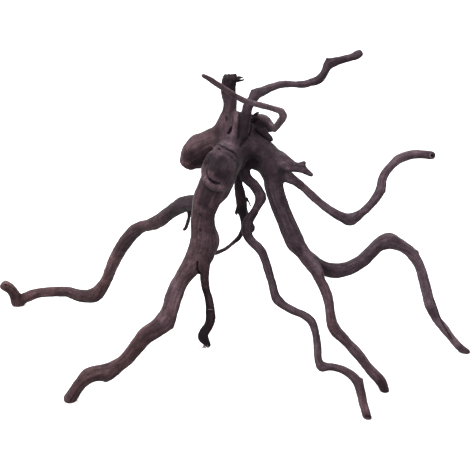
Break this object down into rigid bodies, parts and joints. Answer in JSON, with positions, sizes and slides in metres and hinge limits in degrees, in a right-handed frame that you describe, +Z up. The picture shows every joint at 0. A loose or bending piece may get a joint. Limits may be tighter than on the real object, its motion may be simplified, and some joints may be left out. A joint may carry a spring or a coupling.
{
  "type": "spiderwood root",
  "caption": "Dried dark root stock: a knotty crown with a broken stub, winding limbs and slender legs whose tips it stands on, used as decor in tanks.",
  "frame": {"origin": "on the ground, below the middle of the outline as seen from above", "axes": "+Z up, as it stands on its legs; +X to the right in the picture, along its longest extent; -Y towards the viewer"},
  "size_m": [0.5061, 0.2905, 0.324],
  "materials": {
    "dark_root_wood": "bare dried root wood, matt, dark brown with a violet cast"
  },
  "bodies": {
    "root": {"spiderwood_root": "dark_root_wood"}
  },
  "joints": []
}
